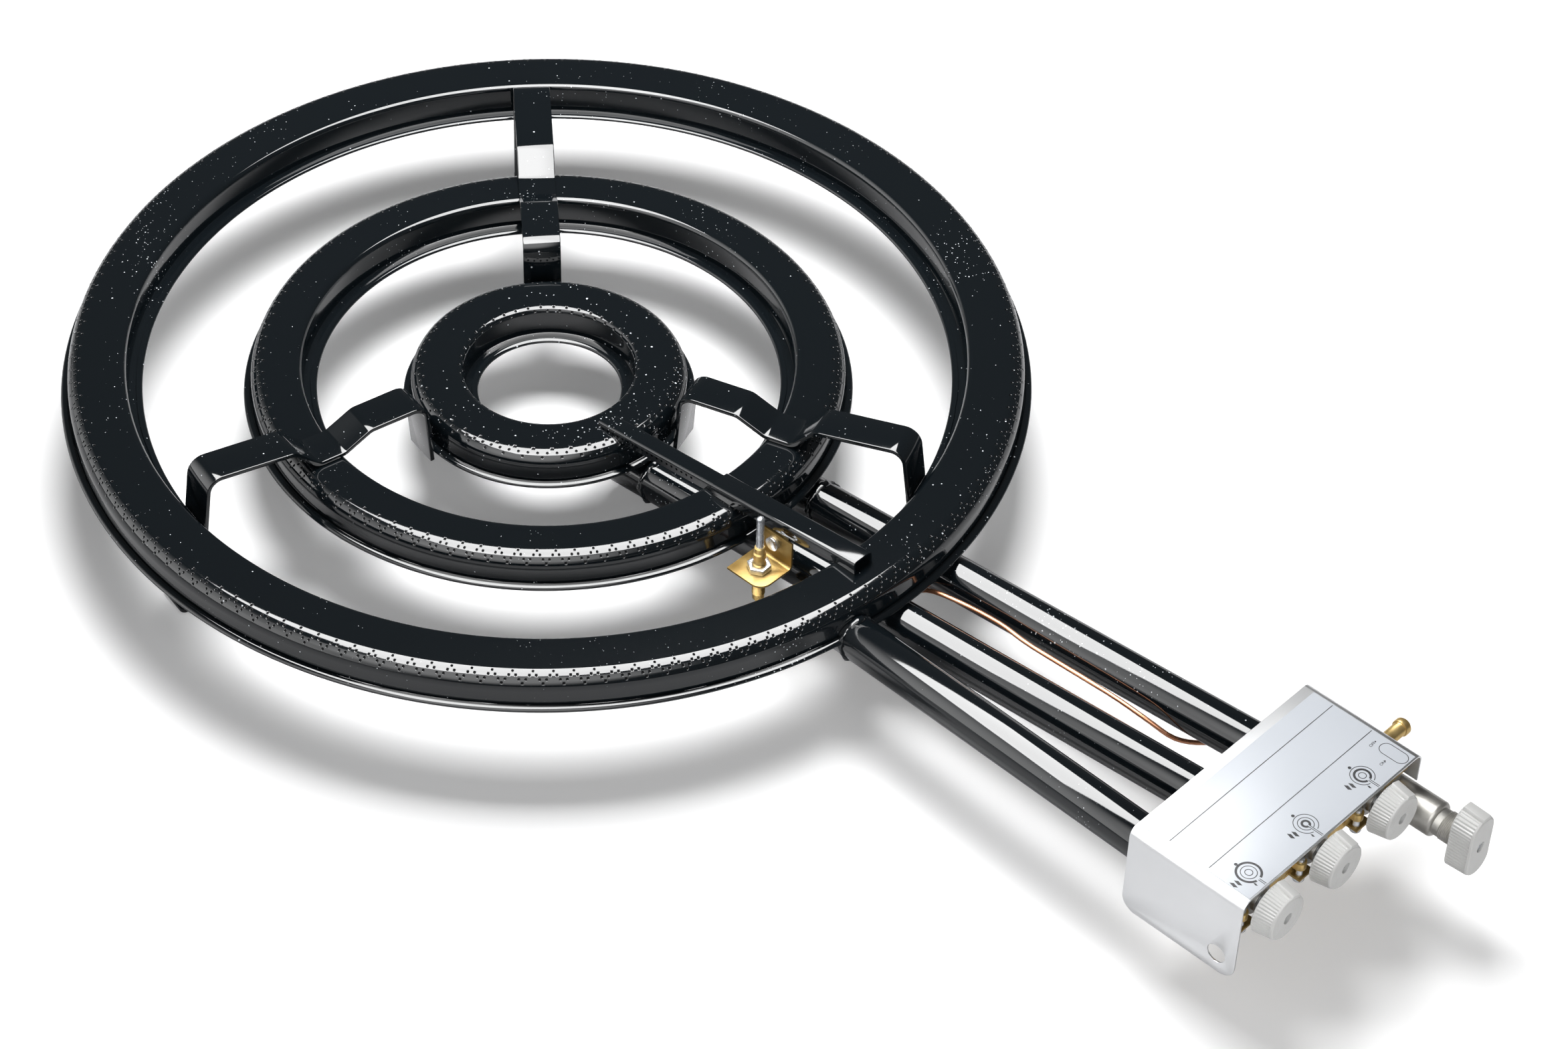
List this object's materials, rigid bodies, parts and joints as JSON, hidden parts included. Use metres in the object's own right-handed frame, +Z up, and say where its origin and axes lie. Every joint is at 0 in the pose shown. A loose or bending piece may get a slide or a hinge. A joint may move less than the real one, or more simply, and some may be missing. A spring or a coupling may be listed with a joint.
{
  "type": "gas burner",
  "caption": "Concentric-ring gas burner for a wide pan: enamelled rings on bent-strip feet, feed tubes, flame sensor, and a tap box with push-and-turn knobs and a safety valve.",
  "frame": {"origin": "on the floor, midway between the back of the outer ring and the face of the safety valve's knob, under the ring axis's left-right centre", "axes": "+Z up from the floor, +Y away from the user along the feed tubes, +X to the user's right"},
  "size_m": [0.5999, 0.956, 0.0991],
  "materials": {
    "enamel": "gloss black enamel with fine pale speckles",
    "cover_sheet": "satin",
    "label_plate": "satin, pale blue-white",
    "yellow_zinc": "yellow zinc plated steel",
    "brass": "satin",
    "copper": null,
    "nickel": "dull nickel plate",
    "knob_plastic": "moulded, warm light grey",
    "bright_zinc": "bright zinc plated steel"
  },
  "bodies": {
    "burner": {"outer_ring_shell": "enamel", "outer_ring_pan": "enamel", "middle_ring_shell": "enamel", "middle_ring_pan": "enamel", "inner_ring_shell": "enamel", "inner_ring_pan": "enamel", "outer_feed_tube": "enamel", "middle_feed_tube": "enamel", "inner_feed_tube": "enamel", "rear_pan_support": "enamel", "left_pan_support": "enamel", "right_pan_support": "enamel", "carry_over_channel": "enamel", "carry_over_cover": "enamel", "thermocouple_lug": "enamel", "thermocouple_bracket": "yellow_zinc", "bracket_screw": "bright_zinc", "thermocouple_sleeve": "brass", "thermocouple_tip": "bright_zinc", "thermocouple_nuts": "brass", "thermocouple_lead": "copper", "tie_plate": "enamel", "control_cover": "cover_sheet", "control_label": "label_plate", "manifold": "brass", "manifold_plug": "brass", "clamp_plates": "yellow_zinc", "clamp_bolts": "bright_zinc", "left_tap_body": "brass", "middle_tap_body": "brass", "right_tap_body": "brass", "tap_fronts": "nickel", "injectors": "brass", "safety_valve_body": "nickel", "valve_coupling": "nickel", "union_nut": "brass", "hose_barb": "brass"},
    "left_tap_push": {"left_thrust_collar": "bright_zinc"},
    "left_tap_turn": {"left_spindle": "bright_zinc", "left_knob": "knob_plastic", "left_knob_screw": "bright_zinc"},
    "middle_tap_push": {"middle_thrust_collar": "bright_zinc"},
    "middle_tap_turn": {"middle_spindle": "bright_zinc", "middle_knob": "knob_plastic", "middle_knob_screw": "bright_zinc"},
    "right_tap_push": {"right_thrust_collar": "bright_zinc"},
    "right_tap_turn": {"right_spindle": "bright_zinc", "right_knob": "knob_plastic", "right_knob_screw": "bright_zinc"},
    "valve_push": {"valve_thrust_collar": "bright_zinc"},
    "valve_turn": {"valve_spindle": "brass", "valve_knob": "knob_plastic", "valve_knob_screw": "bright_zinc"}
  },
  "joints": [
    {"name": "left_tap_slide", "type": "slide", "parent": "burner", "child": "left_tap_push", "axis": [0, 1, 0], "range_m": [0, 0.0025], "stiffness_N_per_m": 900, "springref_m": -0.002},
    {"name": "left_tap_hinge", "type": "hinge", "parent": "left_tap_push", "child": "left_tap_turn", "pos_m": [-0.051, -0.429, 0.0816], "axis": [0, -1, 0], "range_deg": [0, 180]},
    {"name": "middle_tap_slide", "type": "slide", "parent": "burner", "child": "middle_tap_push", "axis": [0, 1, 0], "range_m": [0, 0.0025], "stiffness_N_per_m": 900, "springref_m": -0.002},
    {"name": "middle_tap_hinge", "type": "hinge", "parent": "middle_tap_push", "child": "middle_tap_turn", "pos_m": [0, -0.429, 0.0816], "axis": [0, -1, 0], "range_deg": [0, 180]},
    {"name": "right_tap_slide", "type": "slide", "parent": "burner", "child": "right_tap_push", "axis": [0, 1, 0], "range_m": [0, 0.0025], "stiffness_N_per_m": 900, "springref_m": -0.002},
    {"name": "right_tap_hinge", "type": "hinge", "parent": "right_tap_push", "child": "right_tap_turn", "pos_m": [0.051, -0.429, 0.0816], "axis": [0, -1, 0], "range_deg": [0, 180]},
    {"name": "valve_slide", "type": "slide", "parent": "burner", "child": "valve_push", "axis": [0, 1, 0], "range_m": [0, 0.0045], "stiffness_N_per_m": 900, "springref_m": -0.002},
    {"name": "valve_hinge", "type": "hinge", "parent": "valve_push", "child": "valve_turn", "pos_m": [0.08, -0.462, 0.063], "axis": [0, -1, 0], "range_deg": [0, 90]}
  ]
}
